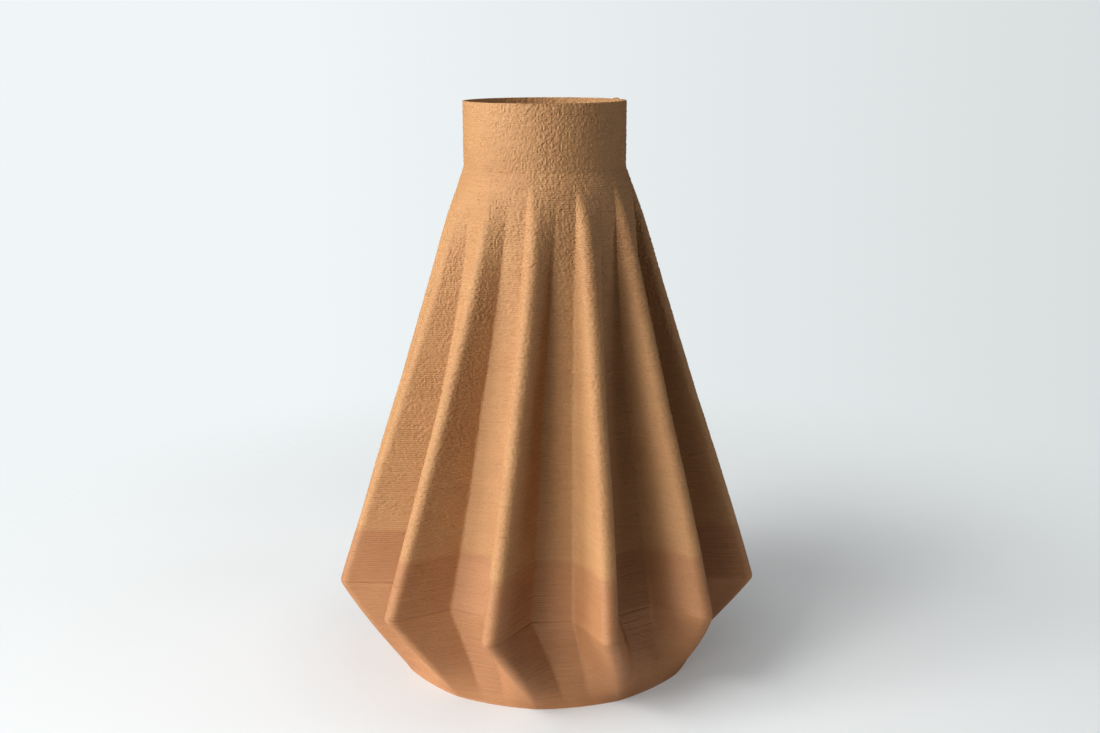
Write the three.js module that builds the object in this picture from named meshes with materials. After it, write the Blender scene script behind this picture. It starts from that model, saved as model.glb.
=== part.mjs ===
import * as THREE from 'three';
import { ParametricGeometry } from 'three/addons/geometries/ParametricGeometry.js';

// A pleated vase, printed as one continuous bead in level layers. It stands on its closed
// foot at z = 0, centred on the Z axis, with its front towards -Y. Lengths are in
// millimetres and angles in degrees. An angle round the vase starts at the front and
// grows towards +X.

// The bead
const LAYER_HEIGHT = 0.72;
const BEAD_WIDTH = 1.2;

// Heights, each a whole number of layers
const FOOT_TOP = 4 * LAYER_HEIGHT; // top of the closed foot
const TIP_LEVEL = 45 * LAYER_HEIGHT; // where the ridges stand out furthest
const COLOUR_LEVEL = 72 * LAYER_HEIGHT; // where the second stretch of filament begins
const SHOULDER = 247 * LAYER_HEIGHT; // where the pleats run out into the plain collar
const RIM = 278 * LAYER_HEIGHT;

// The ridge line, as radii of the sharp corner that each crest rounds off
const FOOT_RADIUS = 55.3;
const TIP_RADIUS = 86;
const NECK_RADIUS = 28.1;
const TAPER_BULGE = 5.2; // how far the taper swells past a straight line, half-way up
const FLARE_BEND = 1.15; // above 1, the flare starts out a little steeper and bends outwards

// The pleats
const PLEAT_COUNT = 12;
const CREST_RADIUS = 3;
const FOOT_RELIEF = 0.5; // from ridge corner to valley floor at the foot
const TIP_RELIEF = 29.5; // and at the tips, where it is deepest
const FRONT_RIDGE = 15.6; // direction of the ridge just right of the front, at the tips
const FOOT_TURN = 11; // how far the ridges have turned by z = 0, counted from the tips
const NECK_TURN = 7; // how far they have turned by the shoulder

// The angle that each flank spans, at the heights where it changes
const SPAN_LEVELS = [0, TIP_LEVEL, 139 * LAYER_HEIGHT, SHOULDER];
const RIGHT_SPANS = [10.5, 9.5, 9.8, 15.4];
const LEFT_SPANS = [11.4, 6.1, 5.7, 2.6];

// Mesh fineness
const CREST_STEPS = 3;
const COLLAR_SEGMENTS = 96;

const { degToRad, lerp } = THREE.MathUtils;

// How far a height is along the flare from the foot to the tips, or along the taper from
// the tips to the neck, from 0 to 1.
const shareOfFlare = (z) => (z / TIP_LEVEL) ** FLARE_BEND;
const shareOfTaper = (z) => (z - TIP_LEVEL) / (SHOULDER - TIP_LEVEL);

function ridgeRadius(z) {
  if (z < TIP_LEVEL) return lerp(FOOT_RADIUS, TIP_RADIUS, shareOfFlare(z));
  const share = shareOfTaper(z);
  return lerp(TIP_RADIUS, NECK_RADIUS, share) + TAPER_BULGE * 4 * share * (1 - share);
}

// The pleats grow evenly out of the almost round foot, and die away in a parabola up to the
// round neck.
function relief(z) {
  if (z < TIP_LEVEL) return lerp(FOOT_RELIEF, TIP_RELIEF, shareOfFlare(z));
  return TIP_RELIEF * (1 - shareOfTaper(z) ** 2);
}

// The tips are turned back against both the foot and the neck.
function ridgeTurn(z) {
  if (z < TIP_LEVEL) return FOOT_TURN * (1 - shareOfFlare(z));
  return NECK_TURN * shareOfTaper(z);
}

function valueAt(z, levels, values) {
  const next = Math.max(1, levels.findIndex((level) => level >= z));
  const share = (z - levels[next - 1]) / (levels[next] - levels[next - 1]);
  return lerp(values[next - 1], values[next], share);
}

function polar(radius, degrees) {
  const angle = degToRad(degrees);
  return new THREE.Vector2(radius * Math.sin(angle), -radius * Math.cos(angle));
}

const directionTo = (from, to) => to.clone().sub(from).normalize();

// The arc that rounds off a ridge's corner. Both flanks run into it smoothly.
function crestArc(left, corner, right) {
  const toLeft = directionTo(corner, left);
  const toRight = directionTo(corner, right);
  const halfAngle = Math.acos(toLeft.dot(toRight)) / 2;
  const inwards = toLeft.clone().add(toRight).normalize();
  const centre = corner.clone().addScaledVector(inwards, CREST_RADIUS / Math.sin(halfAngle));
  const turn = Math.PI / 2 - halfAngle;
  return Array.from({ length: CREST_STEPS + 1 }, (_, step) => {
    const angle = lerp(-turn, turn, step / CREST_STEPS);
    const outwards = inwards.clone().negate().rotateAround(new THREE.Vector2(), angle);
    return centre.clone().addScaledVector(outwards, CREST_RADIUS);
  });
}

// One pleat: up the left flank, over the rounded crest and down the right flank. The flat
// valley floor runs from its last point to the next pleat's first.
function pleatOutline(z, direction) {
  const floor = ridgeRadius(z) - relief(z);
  const left = polar(floor, direction - valueAt(z, SPAN_LEVELS, LEFT_SPANS));
  const right = polar(floor, direction + valueAt(z, SPAN_LEVELS, RIGHT_SPANS));
  const corner = polar(ridgeRadius(z), direction);
  return [left, ...crestArc(left, corner, right), right];
}

function sectionAt(z) {
  const outline = [];
  for (let pleat = 0; pleat < PLEAT_COUNT; pleat++) {
    const direction = FRONT_RIDGE + ridgeTurn(z) + (360 * pleat) / PLEAT_COUNT;
    outline.push(...pleatOutline(z, direction));
  }
  return outline;
}

// The outline moved inwards by a distance, every side staying parallel to itself.
function inset(outline, distance) {
  const count = outline.length;
  const normals = outline.map((point, i) => {
    const side = outline[(i + 1) % count].clone().sub(point).normalize();
    return new THREE.Vector2(side.y, -side.x);
  });
  return outline.map((point, i) => {
    const before = normals[(i + count - 1) % count];
    const mitre = before.clone().add(normals[i]);
    mitre.multiplyScalar(distance / (1 + before.dot(normals[i])));
    return point.clone().sub(mitre);
  });
}

const ringAt = (outline, z) => outline.map(({ x, y }) => new THREE.Vector3(x, y, z));

// The surface through a stack of rings that all have the same number of points.
function skin(rings) {
  const around = rings[0].length;
  const surface = (u, v, target) => {
    const ring = rings[Math.round(v * (rings.length - 1))];
    target.copy(ring[Math.round(u * around) % around]);
  };
  const geometry = new ParametricGeometry(surface, around, rings.length - 1);
  geometry.computeVertexNormals();
  return geometry;
}

const evenLevels = (from, to, steps) =>
  Array.from({ length: steps + 1 }, (_, i) => lerp(from, to, i / steps));

// A wall one bead thick: up the outside, over the top, down the inside and back.
function pleatedWall(levels) {
  const outside = levels.map((z) => ringAt(sectionAt(z), z));
  const inside = levels.map((z) => ringAt(inset(sectionAt(z), BEAD_WIDTH), z));
  return skin([...outside, ...inside.reverse(), outside[0]]);
}

function closedFoot() {
  const bottom = ringAt(sectionAt(0), 0);
  const top = ringAt(sectionAt(FOOT_TOP), FOOT_TOP);
  const bottomCentre = bottom.map(() => new THREE.Vector3(0, 0, 0));
  const topCentre = top.map(() => new THREE.Vector3(0, 0, FOOT_TOP));
  return skin([bottomCentre, bottom, top, topCentre]);
}

function lowerWall() {
  const flare = evenLevels(FOOT_TOP, TIP_LEVEL, 5);
  const start = evenLevels(TIP_LEVEL, COLOUR_LEVEL, 2);
  return pleatedWall([...flare, ...start.slice(1)]);
}

function upperWall() {
  return pleatedWall(evenLevels(COLOUR_LEVEL, SHOULDER, 14));
}

function neckCollar() {
  const inner = NECK_RADIUS - BEAD_WIDTH;
  const profile = [
    new THREE.Vector2(NECK_RADIUS, SHOULDER),
    new THREE.Vector2(NECK_RADIUS, RIM),
    new THREE.Vector2(inner, RIM),
    new THREE.Vector2(inner, SHOULDER),
    new THREE.Vector2(NECK_RADIUS, SHOULDER),
  ];
  return new THREE.LatheGeometry(profile, COLLAR_SEGMENTS).rotateX(Math.PI / 2);
}

function filament(color) {
  return new THREE.MeshStandardMaterial({ color, roughness: 0.85, metalness: 0 });
}

const RED_BROWN = 0xa8683f;
const TAN = 0xbf8a5a;

const vase = new THREE.Group();

function addPart(name, geometry, color) {
  const mesh = new THREE.Mesh(geometry, filament(color));
  mesh.name = name;
  vase.add(mesh);
}

addPart('closed_foot', closedFoot(), RED_BROWN);
addPart('lower_wall', lowerWall(), RED_BROWN);
addPart('upper_wall', upperWall(), TAN);
addPart('neck_collar', neckCollar(), TAN);

export default vase;
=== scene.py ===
import math

import bpy
import numpy as np
from mathutils import Matrix, Vector


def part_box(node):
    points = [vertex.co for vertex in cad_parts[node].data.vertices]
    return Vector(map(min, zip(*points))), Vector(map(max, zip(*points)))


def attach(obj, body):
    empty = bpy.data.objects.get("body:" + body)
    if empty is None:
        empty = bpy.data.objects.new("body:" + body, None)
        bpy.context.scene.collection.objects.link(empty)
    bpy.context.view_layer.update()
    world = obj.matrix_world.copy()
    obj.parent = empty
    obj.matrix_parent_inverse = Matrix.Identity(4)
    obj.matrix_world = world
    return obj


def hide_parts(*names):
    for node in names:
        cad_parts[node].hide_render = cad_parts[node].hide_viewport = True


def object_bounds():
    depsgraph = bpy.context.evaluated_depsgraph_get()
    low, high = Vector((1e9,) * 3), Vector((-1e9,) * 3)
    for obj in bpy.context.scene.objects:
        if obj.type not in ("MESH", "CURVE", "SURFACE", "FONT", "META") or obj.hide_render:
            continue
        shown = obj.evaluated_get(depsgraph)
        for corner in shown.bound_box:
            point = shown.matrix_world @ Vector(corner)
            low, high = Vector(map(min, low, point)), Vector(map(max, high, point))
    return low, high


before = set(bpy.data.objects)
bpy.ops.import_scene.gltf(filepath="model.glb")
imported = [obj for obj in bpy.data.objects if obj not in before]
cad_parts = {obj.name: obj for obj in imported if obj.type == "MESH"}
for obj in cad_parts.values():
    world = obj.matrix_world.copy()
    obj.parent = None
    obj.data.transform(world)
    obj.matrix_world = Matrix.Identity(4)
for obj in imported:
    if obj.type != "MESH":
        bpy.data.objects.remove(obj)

# A pleated vase, printed as one continuous bead in level layers. The CAD part gives its
# heights, and this script makes the same wall again with every layer showing. Lengths are
# in metres and angles in degrees. An angle round the vase starts at the front, which is
# -Y, and grows towards +X.

MM = 0.001
cad_low, cad_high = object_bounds()

# Heights, from the frame. The tips are where the ridges stand out furthest.
FOOT_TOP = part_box("closed_foot")[1][2]
COLOUR_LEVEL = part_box("lower_wall")[1][2]
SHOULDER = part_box("upper_wall")[1][2]
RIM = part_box("neck_collar")[1][2]
LAYER = FOOT_TOP / 4
TIP_LEVEL = 45 * LAYER
MIDDLE_LEVEL = 139 * LAYER

# The ridge line, as radii of the sharp corner that each crest rounds off
FOOT_RADIUS = 55.3 * MM
TIP_RADIUS = 86 * MM
NECK_RADIUS = 28.1 * MM
TAPER_BULGE = 5.2 * MM  # how far the taper swells past a straight line, half-way up
FLARE_BEND = 1.15  # above 1, the flare starts out a little steeper and bends outwards
TIP_ROUNDING = 0.4 * MM  # how softly the ridge line turns over at the tips

# The pleats
PLEATS = 12
CREST_RADIUS = 3 * MM
FOOT_RELIEF = 0.5 * MM  # from ridge corner to valley floor at the foot
TIP_RELIEF = 29.5 * MM  # and at the tips
SINKING_POWER = 14  # the higher, the closer to the collar the pleats sink away
FLOOR_RISE = 0.6  # share of the sinking that lifts the valleys and doesn't lower the ridges
FRONT_RIDGE = 15.6  # direction of the ridge just right of the front, at the tips
FOOT_TURN = 11  # how far the ridges have turned by the foot, counted from the tips
NECK_TURN = 7  # how far they have turned by the shoulder

# The angle that each flank spans, at the heights where it changes
SPAN_LEVELS = [0, TIP_LEVEL, MIDDLE_LEVEL, SHOULDER]
RIGHT_SPANS = [10.5, 9.5, 9.8, 15.4]
LEFT_SPANS = [11.4, 6.1, 5.7, 2.6]

# The bead
BEAD_WIDTH = 1.2 * MM
GROOVE_DEPTH = 0.14 * MM
COLLAR_GROOVE = 0.6  # share of the groove depth left on the collar
END_GROOVE = 0.4  # share left where two pieces meet, so that the joint doesn't show
LAYER_WANDER = 0.025 * MM
WANDER_LENGTH = 25 * MM
FIRST_LAYER_SPREAD = 0.12 * MM
SEAM_HEIGHT = 0.15 * MM
BEAD_END = 114  # direction of the lump on the rim where the bead ends
BEAD_END_WIDTH = 3
BEAD_END_HEIGHT = 0.4 * MM

# The surface
PEBBLE_SIZE = 0.52 * MM
PEBBLE_HEIGHT = 0.17 * MM
FINE_PEBBLES = 0.4  # height of the pebbles of half the size, as a share
PATCH_SIZE = 12 * PEBBLE_SIZE  # patches of higher and lower pebbles
PATCHINESS = 0.35  # how much higher or lower, as a share

# How high the pebbles are, as a share, at the heights where that changes
PEBBLE_LEVELS = [COLOUR_LEVEL - 4 * MM, COLOUR_LEVEL + 8 * MM, 150 * MM]
PEBBLE_SHARES = [0.12, 0.6, 1]

GRAIN_SIZE = 0.5 * MM
GRAIN_HEIGHT = 0.02 * MM

# Mesh fineness: columns along each stretch of a pleat, and rows along each layer
LEFT_COLUMNS = 36
CREST_COLUMNS = 18
RIGHT_COLUMNS = 40
FLOOR_COLUMNS = 26
COLUMNS = PLEATS * (LEFT_COLUMNS + CREST_COLUMNS + RIGHT_COLUMNS + FLOOR_COLUMNS)
ROWS_PER_LAYER = 3
FOOT_COLUMN_STEP = 3  # the closed foot keeps one column in this many
INNER_ROW_STEP = 2 * ROWS_PER_LAYER  # the smooth inside keeps one row in this many
CREASE_SOFTENING = 4  # passes that blend each column with its neighbours
SHARP_ANGLE = 60  # edges sharper than this are shaded as edges


# ---------------------------------------------------------------- shape of the wall

def flare_share(z):
    """How far a height is along the flare, from 0 at the foot to 1 at the tips."""
    return (np.clip(z, 0, None) / TIP_LEVEL) ** FLARE_BEND


def taper_share(z):
    """How far a height is along the taper, from 0 at the tips to 1 at the shoulder."""
    return (z - TIP_LEVEL) / (SHOULDER - TIP_LEVEL)


def ridge_radius(z):
    """Rises along the flare and falls along the taper, and turns over softly between."""
    share = taper_share(z)
    flare = FOOT_RADIUS + (TIP_RADIUS - FOOT_RADIUS) * flare_share(z)
    taper = TIP_RADIUS + (NECK_RADIUS - TIP_RADIUS) * share
    taper = taper + TAPER_BULGE * 4 * share * (1 - share)
    return -TIP_ROUNDING * np.logaddexp(-flare / TIP_ROUNDING, -taper / TIP_ROUNDING)


def relief(z):
    rising = FOOT_RELIEF + (TIP_RELIEF - FOOT_RELIEF) * flare_share(z)
    fading = TIP_RELIEF * (1 - taper_share(z) ** 2)
    return np.where(z < TIP_LEVEL, rising, fading)


def sinking(z):
    """How much relief is lost near the collar, so that the pleats end softly."""
    return relief(z) * (1 - (1 - taper_share(z) ** SINKING_POWER) ** 2)


def ridge_turn(z):
    flare_turn = FOOT_TURN * (1 - flare_share(z))
    return np.where(z < TIP_LEVEL, flare_turn, NECK_TURN * taper_share(z))


def polar(radius, degrees):
    angle = np.radians(degrees)
    return np.stack([radius * np.sin(angle), -radius * np.cos(angle)], -1)


def length(vectors):
    return np.linalg.norm(vectors, axis=-1, keepdims=True)


def corners_at(z):
    """Each pleat's left foot, ridge corner and right foot, as (row, pleat, 3, 2)."""
    z = z[:, None]
    direction = FRONT_RIDGE + ridge_turn(z) + 360 / PLEATS * np.arange(PLEATS)
    floor = ridge_radius(z) - relief(z) + FLOOR_RISE * sinking(z)
    top = ridge_radius(z) - (1 - FLOOR_RISE) * sinking(z)
    left = polar(floor, direction - np.interp(z, SPAN_LEVELS, LEFT_SPANS))
    ridge = polar(top, direction)
    right = polar(floor, direction + np.interp(z, SPAN_LEVELS, RIGHT_SPANS))
    return np.stack([left, ridge, right], 2)


def normals_from(along):
    along = along / length(along)
    return np.stack([along[..., 1], -along[..., 0]], -1)


def inset(corners, distance):
    """The corners moved inwards so that every side stays parallel to itself."""
    loop = corners.reshape(len(corners), -1, 2)
    normal = normals_from(np.roll(loop, -1, 1) - loop)
    before = np.roll(normal, 1, 1)
    lean = 1 + (before * normal).sum(-1, keepdims=True)
    return (loop - (before + normal) * distance / lean).reshape(corners.shape)


def crest_arc(left, ridge, right, radius):
    """The arc that rounds off each ridge's corner, as (row, pleat, point, 2)."""
    to_left = (left - ridge) / length(left - ridge)
    to_right = (right - ridge) / length(right - ridge)
    half_angle = np.arccos((to_left * to_right).sum(-1)) / 2
    inwards = (to_left + to_right) / length(to_left + to_right)
    centre = ridge + inwards * (radius / np.sin(half_angle))[..., None]
    turn = math.pi / 2 - half_angle
    angle = turn[..., None] * np.linspace(-1, 1, CREST_COLUMNS + 1)
    x, y = -inwards[..., None, 0], -inwards[..., None, 1]
    outwards_x = x * np.cos(angle) - y * np.sin(angle)
    outwards_y = x * np.sin(angle) + y * np.cos(angle)
    return centre[..., None, :] + radius * np.stack([outwards_x, outwards_y], -1)


def side(start, end, count, bow):
    """Points from start towards end. Bow 0 keeps the side straight, 1 follows a circle."""
    share = (np.arange(count) / count)[:, None]
    start, end = start[:, :, None], end[:, :, None]
    straight = start + (end - start) * share
    radius = length(start) + (length(end) - length(start)) * share
    round_side = straight / length(straight) * radius
    return straight + (round_side - straight) * bow[:, None, None, None]


def outline(z, corners, crest_radius):
    """The closed outline through the corners, with rounded ridges: (row, column, 2).

    The sides are straight at the tips and bow towards a circle as the relief shrinks.
    """
    left, ridge, right = corners[:, :, 0], corners[:, :, 1], corners[:, :, 2]
    bow = 1 - relief(z) / TIP_RELIEF
    arc = crest_arc(left, ridge, right, crest_radius)
    stretches = [
        side(left, arc[:, :, 0], LEFT_COLUMNS, bow),
        arc[:, :, :-1],
        side(arc[:, :, -1], right, RIGHT_COLUMNS, bow),
        side(right, np.roll(left, -1, 1), FLOOR_COLUMNS, bow),
    ]
    return np.concatenate(stretches, 2).reshape(len(z), COLUMNS, 2)


def outer_outline(z):
    """The outside of the wall, its creases rounded a little as a bead does where it turns."""
    points = outline(z, corners_at(z), CREST_RADIUS)
    for _ in range(CREASE_SOFTENING):
        points = (np.roll(points, 1, 1) + 2 * points + np.roll(points, -1, 1)) / 4
    return points


def inner_outline(z):
    return outline(z, inset(corners_at(z), BEAD_WIDTH), CREST_RADIUS - BEAD_WIDTH)


def circle(z, radius):
    points = polar(radius, 360 / COLUMNS * np.arange(COLUMNS))
    return np.repeat(points[None], len(z), 0)


def at_height(points, z):
    levels = np.repeat(z[:, None, None], points.shape[1], 1)
    return np.concatenate([points, levels], -1)


# ---------------------------------------------------------------- surface relief

def hashed(key, seed):
    """A repeatable value from -1 to 1 for each whole-number (x, y, z)."""
    mixed = key[..., 0] * 374761393 + key[..., 1] * 668265263 + key[..., 2] * 2147483647
    mixed = (mixed + seed * 1274126177) & 0xFFFFFFFF
    mixed = ((mixed ^ mixed >> 13) * 1103515245) & 0xFFFFFFFF
    mixed = ((mixed ^ mixed >> 16) * 2654435761) & 0xFFFFFFFF
    return ((mixed ^ mixed >> 15) & 0xFFFF) / 0x8000 - 1


def lattice_noise(cells, seed):
    """Smooth noise from -1 to 1 with one lump to about each unit cell."""
    base = np.floor(cells).astype(np.int64)
    share = cells - base
    share = share * share * (3 - 2 * share)
    total = np.zeros(cells.shape[:-1])
    for corner in range(8):
        step = np.array([corner & 1, corner >> 1 & 1, corner >> 2 & 1])
        weight = np.prod(np.where(step, share, 1 - share), -1)
        total = total + weight * hashed(base + step, seed)
    return total


def pebbles(points):
    """Orange peel: strongest towards the collar, and almost gone below the colour change."""
    wide = lattice_noise(points / PEBBLE_SIZE, 1)
    fine = lattice_noise(points / (PEBBLE_SIZE / 2), 2)
    patches = 1 + PATCHINESS * lattice_noise(points / PATCH_SIZE, 3)
    strength = np.interp(points[..., 2], PEBBLE_LEVELS, PEBBLE_SHARES)
    return PEBBLE_HEIGHT * strength * patches * (wide + FINE_PEBBLES * fine)


def grain(points):
    return GRAIN_HEIGHT * lattice_noise(points / GRAIN_SIZE, 4)


def wander(points):
    """How far each layer lies out of line, which drifts slowly along the bead."""
    layer = np.floor(points[..., 2:] / LAYER + 0.5 / ROWS_PER_LAYER)
    cells = np.concatenate([points[..., :2] / WANDER_LENGTH, layer], -1)
    return LAYER_WANDER * lattice_noise(cells, 5)


def seam(points):
    """A blob on each layer of the pleated wall, where one loop of the bead meets the next."""
    layer = np.floor(points[:, 0, 2] / LAYER + 0.5 / ROWS_PER_LAYER)
    blob = 1 + hashed(np.stack([layer, layer * 0, layer * 0], -1).astype(np.int64), 6)
    height = np.zeros(points.shape[:-1])
    height[:, 0] = SEAM_HEIGHT * blob / 2
    return height


def layer_rows(low, high):
    """Heights of the mesh rows from low to high, and how deep each lies in its groove."""
    steps = np.arange(round((high - low) / LAYER) * ROWS_PER_LAYER + 1)
    depth = GROOVE_DEPTH * (steps % ROWS_PER_LAYER == 0)
    depth[[0, -1]] *= END_GROOVE
    return low + steps * LAYER / ROWS_PER_LAYER, depth


def beaded(points, z, depth, lift=0):
    """An outline at each height, moved along its normals by lift, grooves and roughness."""
    solid = at_height(points, z)
    lift = lift + pebbles(solid) + grain(solid) + wander(solid) - depth[:, None]
    along = np.roll(points, -1, 1) - np.roll(points, 1, 1)
    solid[..., :2] += normals_from(along) * lift[..., None]
    return solid


# ---------------------------------------------------------------- making pieces

def make_piece(name, vertices, face_groups, node, material):
    """A smooth-shaded piece. Each face group is an array with one face to a row."""
    corners = np.concatenate([group.ravel() for group in face_groups])
    sizes = np.concatenate([np.full(len(group), group.shape[1]) for group in face_groups])
    mesh = bpy.data.meshes.new(name)
    mesh.vertices.add(len(vertices))
    mesh.vertices.foreach_set("co", vertices.astype(np.float32).ravel())
    mesh.loops.add(len(corners))
    mesh.loops.foreach_set("vertex_index", corners.astype(np.int32))
    mesh.polygons.add(len(sizes))
    mesh.polygons.foreach_set("loop_start", (np.cumsum(sizes) - sizes).astype(np.int32))
    mesh.polygons.foreach_set("use_smooth", np.ones(len(sizes), bool))
    mesh.update(calc_edges=True)
    mesh.validate()
    mesh.set_sharp_from_angle(angle=math.radians(SHARP_ANGLE))
    mesh.materials.append(material)
    piece = bpy.data.objects.new(name, mesh)
    bpy.context.scene.collection.objects.link(piece)
    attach(piece, "root")
    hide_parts(node)


def skin(rings, closed):
    """Quads through a stack of rings, and from the last ring to the first if closed."""
    count, columns = rings.shape[:2]
    row = np.arange(count if closed else count - 1)[:, None]
    column = np.arange(columns)
    above = (row + 1) % count
    beside = (column + 1) % columns
    quad = [row * columns + column, row * columns + beside,
            above * columns + beside, above * columns + column]
    return np.stack(quad, -1).reshape(-1, 4)


def tube(name, outside, inside, node, material):
    rings = np.concatenate([outside, inside])
    make_piece(name, rings.reshape(-1, 3), [skin(rings, closed=True)], node, material)


def band_edges(low, high, bands):
    layers = np.round(np.linspace(0, round((high - low) / LAYER), bands + 1))
    edges = low + layers * LAYER
    return list(zip(edges[:-1], edges[1:]))


def pleated_wall(prefix, low, high, bands, node, material):
    """The pleated wall, one bead thick, in several bands one on the other."""
    for number, (start, end) in enumerate(band_edges(low, high, bands), 1):
        z, depth = layer_rows(start, end)
        points = outer_outline(z)
        outside = beaded(points, z, depth, seam(at_height(points, z)))
        z_inside = z[::-INNER_ROW_STEP]
        if z_inside[-1] > start:
            z_inside = np.append(z_inside, start)
        inside = at_height(inner_outline(z_inside), z_inside)
        tube(f"{prefix}_{number:02d}", outside, inside, node, material)


def collar(prefix, bands, node, material):
    """The plain collar, with a small lump on its rim where the bead ends."""
    direction = 360 / COLUMNS * np.arange(COLUMNS)
    lump = BEAD_END_HEIGHT * np.exp(-((direction - BEAD_END) / BEAD_END_WIDTH) ** 2)
    for number, (start, end) in enumerate(band_edges(SHOULDER, RIM, bands), 1):
        z, depth = layer_rows(start, end)
        depth = COLLAR_GROOVE * depth
        outside = beaded(circle(z, NECK_RADIUS), z, depth)
        inside = beaded(circle(z, NECK_RADIUS - BEAD_WIDTH), z, -depth)
        for rings in (outside, inside):
            near_rim = np.clip((rings[..., 2] - RIM) / LAYER + 2, 0, 1)
            rings[..., 2] += near_rim * lump
        tube(f"{prefix}_{number:02d}", outside, inside[::-1], node, material)


def closed_foot(name, node, material):
    """The closed bottom: four layers of beads laid in circles, the first spread wider."""
    z, depth = layer_rows(0, FOOT_TOP)
    spread = FIRST_LAYER_SPREAD * np.clip(1 - z / LAYER, 0, 1)
    outside = beaded(outer_outline(z), z, depth, spread[:, None])[:, ::FOOT_COLUMN_STEP]
    beads = round(FOOT_RADIUS / BEAD_WIDTH)
    steps = np.arange(1, 2 * beads)
    share = 1 - steps / (2 * beads)
    dip = GROOVE_DEPTH * (steps % 2 == 0)

    def face(edge, level):
        rings = edge[None] * share[:, None, None]
        rings[..., 2] = level[:, None]
        return rings

    bottom = face(outside[0], dip)[::-1]
    top = face(outside[-1], FOOT_TOP - dip)
    rings = np.concatenate([bottom, outside, top])
    vertices = np.concatenate([rings.reshape(-1, 3), [[0, 0, 0], [0, 0, FOOT_TOP]]])
    columns = rings.shape[1]
    here = np.arange(columns)
    beside = (here + 1) % columns
    last = (len(rings) - 1) * columns
    low_centre = np.full(columns, len(vertices) - 2)
    low_fan = np.stack([low_centre, beside, here], -1)
    high_fan = np.stack([low_centre + 1, last + here, last + beside], -1)
    make_piece(name, vertices, [skin(rings, closed=False), low_fan, high_fan], node, material)


# ---------------------------------------------------------------- materials

RED_BROWN = (0.375, 0.173, 0.07)
RED_BROWN_ROUGHNESS = 0.6
TAN = (0.43, 0.224, 0.092)
TAN_ROUGHNESS = 0.7
SHINE = 0.35

# Noise patterns, each with the number of its cells to a metre
STREAKS = 900
STREAK_SQUEEZE = (0.08, 0.08, 1.0)  # makes the streaks long across and thin upwards
MOTTLE = 70
SPECKS = 1500
TOOTH = 2000
TOOTH_HEIGHT = 0.04 * MM
TOOTH_STRENGTH = 0.4

# What each pattern does to the colour: the noise levels where its darkest shade ends and
# where it leaves the colour alone, and its darkest shade
STREAK_SHADES = (0.3, 0.7, (0.92, 0.92, 0.92))
MOTTLE_SHADES = (0.3, 0.7, (0.92, 0.88, 0.86))
SPECK_SHADES = (0.26, 0.38, (0.84, 0.81, 0.78))
UNCHANGED = (1, 1, 1)


def filament_material(name, roughness):
    """Matte filled plastic: streaks along the beads, mottling and fine specks.

    The two colours run into each other over three layers at the colour change.
    """
    material = bpy.data.materials.new(name)
    material.use_nodes = True
    tree = material.node_tree
    tree.nodes.clear()

    def add(kind, **settings):
        node = tree.nodes.new(kind)
        for key, value in settings.items():
            setattr(node, key, value)
        return node

    def noise(vector, scale, detail):
        node = add("ShaderNodeTexNoise")
        node.inputs["Scale"].default_value = scale
        node.inputs["Detail"].default_value = detail
        tree.links.new(vector, node.inputs["Vector"])
        return node.outputs["Fac"]

    def ramp(value, low, high, low_colour, high_colour):
        node = add("ShaderNodeValToRGB")
        for stop, position, colour in zip(
                node.color_ramp.elements, (low, high), (low_colour, high_colour)):
            stop.position = position
            stop.color = (*colour, 1)
        tree.links.new(value, node.inputs["Fac"])
        return node.outputs["Color"]

    def multiply(a, b):
        node = add("ShaderNodeMix", data_type="RGBA", blend_type="MULTIPLY")
        node.inputs["Factor"].default_value = 1
        tree.links.new(a, node.inputs[6])
        tree.links.new(b, node.inputs[7])
        return node.outputs[2]

    place = add("ShaderNodeTexCoord").outputs["Object"]
    height = add("ShaderNodeSeparateXYZ")
    tree.links.new(place, height.inputs["Vector"])
    change = add("ShaderNodeMapRange", interpolation_type="SMOOTHSTEP")
    change.inputs["From Min"].default_value = COLOUR_LEVEL - LAYER
    change.inputs["From Max"].default_value = COLOUR_LEVEL + 2 * LAYER
    tree.links.new(height.outputs["Z"], change.inputs["Value"])
    colour = ramp(change.outputs["Result"], 0, 1, RED_BROWN, TAN)

    along = add("ShaderNodeMapping")
    along.inputs["Scale"].default_value = STREAK_SQUEEZE
    tree.links.new(place, along.inputs["Vector"])
    streaks = ramp(noise(along.outputs["Vector"], STREAKS, 2), *STREAK_SHADES, UNCHANGED)
    mottle = ramp(noise(place, MOTTLE, 3), *MOTTLE_SHADES, UNCHANGED)
    specks = ramp(noise(place, SPECKS, 1), *SPECK_SHADES, UNCHANGED)
    for shade in (streaks, mottle, specks):
        colour = multiply(colour, shade)

    surface = add("ShaderNodeBsdfPrincipled")
    surface.inputs["Roughness"].default_value = roughness
    surface.inputs["Specular IOR Level"].default_value = SHINE
    tree.links.new(colour, surface.inputs["Base Color"])
    bump = add("ShaderNodeBump")
    bump.inputs["Strength"].default_value = TOOTH_STRENGTH
    bump.inputs["Distance"].default_value = TOOTH_HEIGHT
    tree.links.new(noise(place, TOOTH, 3), bump.inputs["Height"])
    tree.links.new(bump.outputs["Normal"], surface.inputs["Normal"])
    output = add("ShaderNodeOutputMaterial")
    tree.links.new(surface.outputs["BSDF"], output.inputs["Surface"])
    return material


# ---------------------------------------------------------------- stage, lights, camera

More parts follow.
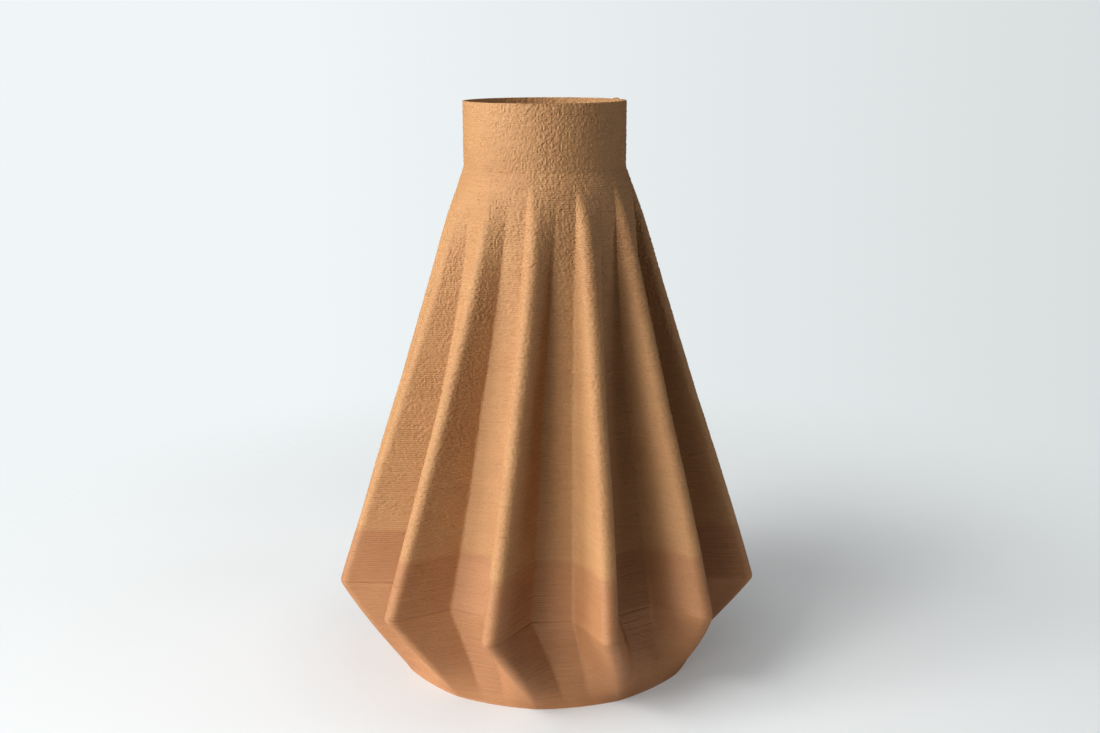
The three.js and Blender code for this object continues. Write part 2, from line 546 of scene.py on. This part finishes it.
# The floor: the distances from the vase over which it fades into the backdrop and gains its
# painted light, the colour that lights the vase, and the colour and painted light that the
# camera sees. The painted light is a glow that only the camera sees. It is left out near the
# vase, which leaves a painted shadow round the foot.
FLOOR_RADIUS = 1.0
FLOOR_ROUGHNESS = 0.9
FADE_FROM = 0.12
FADE_TO = 0.40
PAINTED_LIGHT_FROM = 0
PAINTED_LIGHT_TO = 0.12
FLOOR_COLOUR = (0.80, 0.80, 0.80, 1)
SEEN_COLOUR = (0.55, 0.56, 0.56, 1)
PAINTED_LIGHT_COLOUR = (0.94, 0.97, 0.98, 1)
PAINTED_FLOOR_LIGHT = 0.32

# Painted light: the backdrop is painted lighter on the left, towards the lamps, and darker on
# the right.
# The backdrop's colours, and the share to the right, from -1 to 1, at which each begins
BACKDROP_LEFT = (0.875, 0.92, 0.935, 1)
BACKDROP_LEFT_SIDE = -0.2
BACKDROP_RIGHT = (0.69, 0.735, 0.735, 1)
BACKDROP_RIGHT_SIDE = 0.4
ROOM_COLOUR = (0.85, 0.92, 1.0, 1)
ROOM_STRENGTH = 0.03

# Soft lamps, most of them standing for a wide window on the left: direction, height in
# degrees, and watts
LAMPS = {
    "high_left": (-75, 45, 4.3),
    "high_front_left": (-50, 45, 7.0),
    "window_left": (-73, 22, 5.7),
    "window_front_left": (-50, 22, 6.0),
    "low_left": (-75, 3, 6.3),
    "low_front_left": (-42, 3, 4.3),
    "front_left": (-24, 14, 2.3),
    "right": (88, 14, 4.1),
}
LAMP_DISTANCE = 1.3
LAMP_SIZE = 0.45

# The view, from the front and a little above the rim
LENS = 41.9
SENSOR_WIDTH = 36
CAMERA_PLACE = (1.6 * MM, -2.240 * RIM, 1.086 * RIM)
CAMERA_TILT = 13.95
CAMERA_ROLL = -0.17


def make_floor():
    """A pale disc that fades into the backdrop.

    It lights the vase from below as a white table does. To the camera it is darker in
    colour and carries painted light, a glow that makes it look evenly lit, except close to
    the vase, where the glow is left out and so paints a shadow.
    """
    points = [(*point, 0) for point in polar(FLOOR_RADIUS, np.arange(0, 360, 5))]
    mesh = bpy.data.meshes.new("floor")
    mesh.from_pydata(points, [], [list(range(len(points)))])
    floor = bpy.data.objects.new("floor", mesh)
    floor.location.z = cad_low[2]
    bpy.context.scene.collection.objects.link(floor)
    material = bpy.data.materials.new("floor")
    material.use_nodes = True
    tree = material.node_tree
    surface = tree.nodes["Principled BSDF"]
    surface.inputs["Roughness"].default_value = FLOOR_ROUGHNESS
    surface.inputs["Emission Color"].default_value = PAINTED_LIGHT_COLOUR
    path = tree.nodes.new("ShaderNodeLightPath")
    seen = path.outputs["Is Camera Ray"]
    coords = tree.nodes.new("ShaderNodeTexCoord")
    reach = tree.nodes.new("ShaderNodeVectorMath")
    reach.operation = "LENGTH"
    tree.links.new(coords.outputs["Object"], reach.inputs[0])

    def rising(start, end):
        step = tree.nodes.new("ShaderNodeMapRange")
        step.interpolation_type = "SMOOTHSTEP"
        step.inputs["From Min"].default_value = start
        step.inputs["From Max"].default_value = end
        tree.links.new(reach.outputs["Value"], step.inputs["Value"])
        return step

    colour = tree.nodes.new("ShaderNodeMix")
    colour.data_type = "RGBA"
    colour.inputs[6].default_value = FLOOR_COLOUR
    colour.inputs[7].default_value = SEEN_COLOUR
    tree.links.new(seen, colour.inputs["Factor"])
    tree.links.new(colour.outputs[2], surface.inputs["Base Color"])
    # painted light: a glow only the camera sees, rising from none at the vase to full a
    # little way out, so a painted shadow stays round the foot
    painted_light = tree.nodes.new("ShaderNodeMath")
    painted_light.operation = "MULTIPLY"
    tree.links.new(seen, painted_light.inputs[0])
    painted_light_step = rising(PAINTED_LIGHT_FROM, PAINTED_LIGHT_TO)
    painted_light_step.inputs["To Max"].default_value = PAINTED_FLOOR_LIGHT
    tree.links.new(painted_light_step.outputs["Result"], painted_light.inputs[1])
    tree.links.new(painted_light.outputs["Value"], surface.inputs["Emission Strength"])
    clear = tree.nodes.new("ShaderNodeBsdfTransparent")
    blend = tree.nodes.new("ShaderNodeMixShader")
    tree.links.new(rising(FADE_FROM, FADE_TO).outputs["Result"], blend.inputs["Fac"])
    tree.links.new(surface.outputs["BSDF"], blend.inputs[1])
    tree.links.new(clear.outputs["BSDF"], blend.inputs[2])
    tree.links.new(blend.outputs["Shader"], tree.nodes["Material Output"].inputs["Surface"])
    mesh.materials.append(material)


def make_world():
    """A pale backdrop to look at, with painted light making its left side brighter, and a
    much dimmer room.
    """
    world = bpy.data.worlds.new("studio")
    bpy.context.scene.world = world
    world.use_nodes = True
    tree = world.node_tree
    tree.nodes.clear()
    coords = tree.nodes.new("ShaderNodeTexCoord")
    across = tree.nodes.new("ShaderNodeSeparateXYZ")
    tree.links.new(coords.outputs["Generated"], across.inputs["Vector"])
    span = tree.nodes.new("ShaderNodeMapRange")
    span.inputs["From Min"].default_value = BACKDROP_LEFT_SIDE
    span.inputs["From Max"].default_value = BACKDROP_RIGHT_SIDE
    tree.links.new(across.outputs["X"], span.inputs["Value"])
    shade = tree.nodes.new("ShaderNodeValToRGB")
    shade.color_ramp.elements[0].color = BACKDROP_LEFT
    shade.color_ramp.elements[1].color = BACKDROP_RIGHT
    tree.links.new(span.outputs["Result"], shade.inputs["Fac"])
    backdrop = tree.nodes.new("ShaderNodeBackground")
    tree.links.new(shade.outputs["Color"], backdrop.inputs["Color"])
    room = tree.nodes.new("ShaderNodeBackground")
    room.inputs["Color"].default_value = ROOM_COLOUR
    room.inputs["Strength"].default_value = ROOM_STRENGTH
    path = tree.nodes.new("ShaderNodeLightPath")
    blend = tree.nodes.new("ShaderNodeMixShader")
    tree.links.new(path.outputs["Is Camera Ray"], blend.inputs["Fac"])
    tree.links.new(room.outputs["Background"], blend.inputs[1])
    tree.links.new(backdrop.outputs["Background"], blend.inputs[2])
    output = tree.nodes.new("ShaderNodeOutputWorld")
    tree.links.new(blend.outputs["Shader"], output.inputs["Surface"])


def make_lamp(name, azimuth, elevation, watts):
    data = bpy.data.lights.new(name, "AREA")
    data.shape = "DISK"
    data.size = LAMP_SIZE
    data.energy = watts
    lamp = bpy.data.objects.new(name, data)
    middle = Vector((0, 0, RIM / 2))
    level = math.cos(math.radians(elevation))
    across, ahead = polar(level, azimuth)
    step = Vector((across, ahead, math.sin(math.radians(elevation))))
    lamp.location = middle + LAMP_DISTANCE * step
    lamp.rotation_euler = (-step).to_track_quat("-Z", "Y").to_euler()
    lamp.visible_camera = False
    bpy.context.scene.collection.objects.link(lamp)


def make_camera():
    data = bpy.data.cameras.new("camera")
    data.sensor_width = SENSOR_WIDTH
    data.lens = LENS
    camera = bpy.data.objects.new("camera", data)
    camera.location = CAMERA_PLACE
    tilt = Matrix.Rotation(math.radians(90 - CAMERA_TILT), 4, "X")
    roll = Matrix.Rotation(math.radians(CAMERA_ROLL), 4, "Z")
    camera.rotation_euler = (tilt @ roll).to_euler()
    bpy.context.scene.collection.objects.link(camera)
    bpy.context.scene.camera = camera


# ---------------------------------------------------------------- putting it together

make_camera()
make_floor()
make_world()
for lamp_name, settings in LAMPS.items():
    make_lamp(lamp_name, *settings)

red_brown = filament_material("red_brown_filament", RED_BROWN_ROUGHNESS)
tan = filament_material("tan_filament", TAN_ROUGHNESS)
closed_foot("foot_beads", "closed_foot", red_brown)
pleated_wall("lower_beads", FOOT_TOP, COLOUR_LEVEL, 4, "lower_wall", red_brown)
pleated_wall("upper_beads", COLOUR_LEVEL, SHOULDER, 10, "upper_wall", tan)
collar("collar_beads", 3, "neck_collar", tan)

bpy.context.scene.view_settings.view_transform = "Standard"
